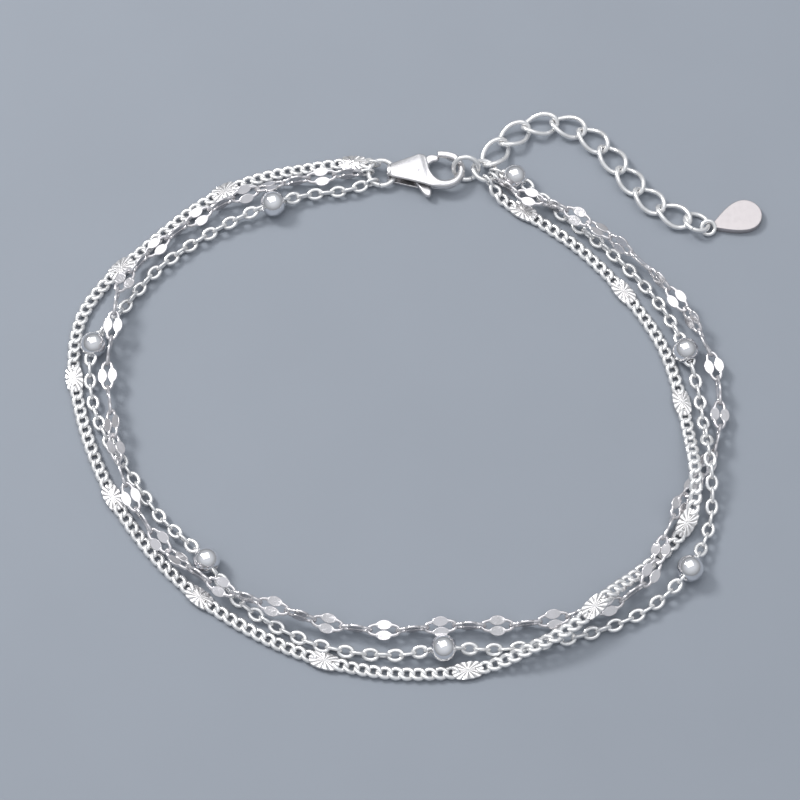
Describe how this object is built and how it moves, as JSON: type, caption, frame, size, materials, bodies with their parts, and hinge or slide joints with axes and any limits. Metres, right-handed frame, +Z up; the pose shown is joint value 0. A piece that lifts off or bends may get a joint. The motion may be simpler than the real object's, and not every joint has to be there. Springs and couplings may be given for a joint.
{
  "type": "chain bracelet",
  "caption": "Layered silver chain anklet: a curb strand with sunburst plates, a cable strand with balls and a pressed-link strand, on a lobster clasp with an extender chain and drop tag.",
  "frame": {"origin": "under the middle of the whole piece, on the surface that it lies on", "axes": "+X to the right along the loop's longer way, towards the drop tag; +Y towards the clasp; +Z up from the surface"},
  "size_m": [0.0836, 0.0744, 0.004],
  "materials": {
    "polished_silver": "polished sterling silver",
    "satin_silver": "satin sterling silver"
  },
  "bodies": {
    "root": {"curb_chain": "polished_silver", "cable_chain": "polished_silver", "ball_1": "polished_silver", "ball_2": "polished_silver", "ball_3": "polished_silver", "ball_4": "polished_silver", "ball_5": "polished_silver", "ball_6": "polished_silver", "ball_7": "polished_silver", "pressed_chain": "polished_silver", "clasp_ring": "polished_silver", "end_ring": "polished_silver", "join_ring": "polished_silver", "tag_ring": "polished_silver", "extender_link_1": "polished_silver", "extender_link_2": "polished_silver", "extender_link_3": "polished_silver", "extender_link_4": "polished_silver", "extender_link_5": "polished_silver", "extender_link_6": "polished_silver", "extender_link_7": "polished_silver", "extender_link_8": "polished_silver", "extender_link_9": "polished_silver", "clasp_body": "polished_silver", "drop_tag": "satin_silver"},
    "trigger": {"clasp_trigger": "polished_silver"}
  },
  "joints": [
    {"name": "trigger_hinge", "type": "hinge", "parent": "root", "child": "trigger", "pos_m": [-0.0001, 0.0281, 0.001], "axis": [0, 0, -1], "range_deg": [0, 22], "stiffness_Nm_per_rad": 0.008}
  ]
}
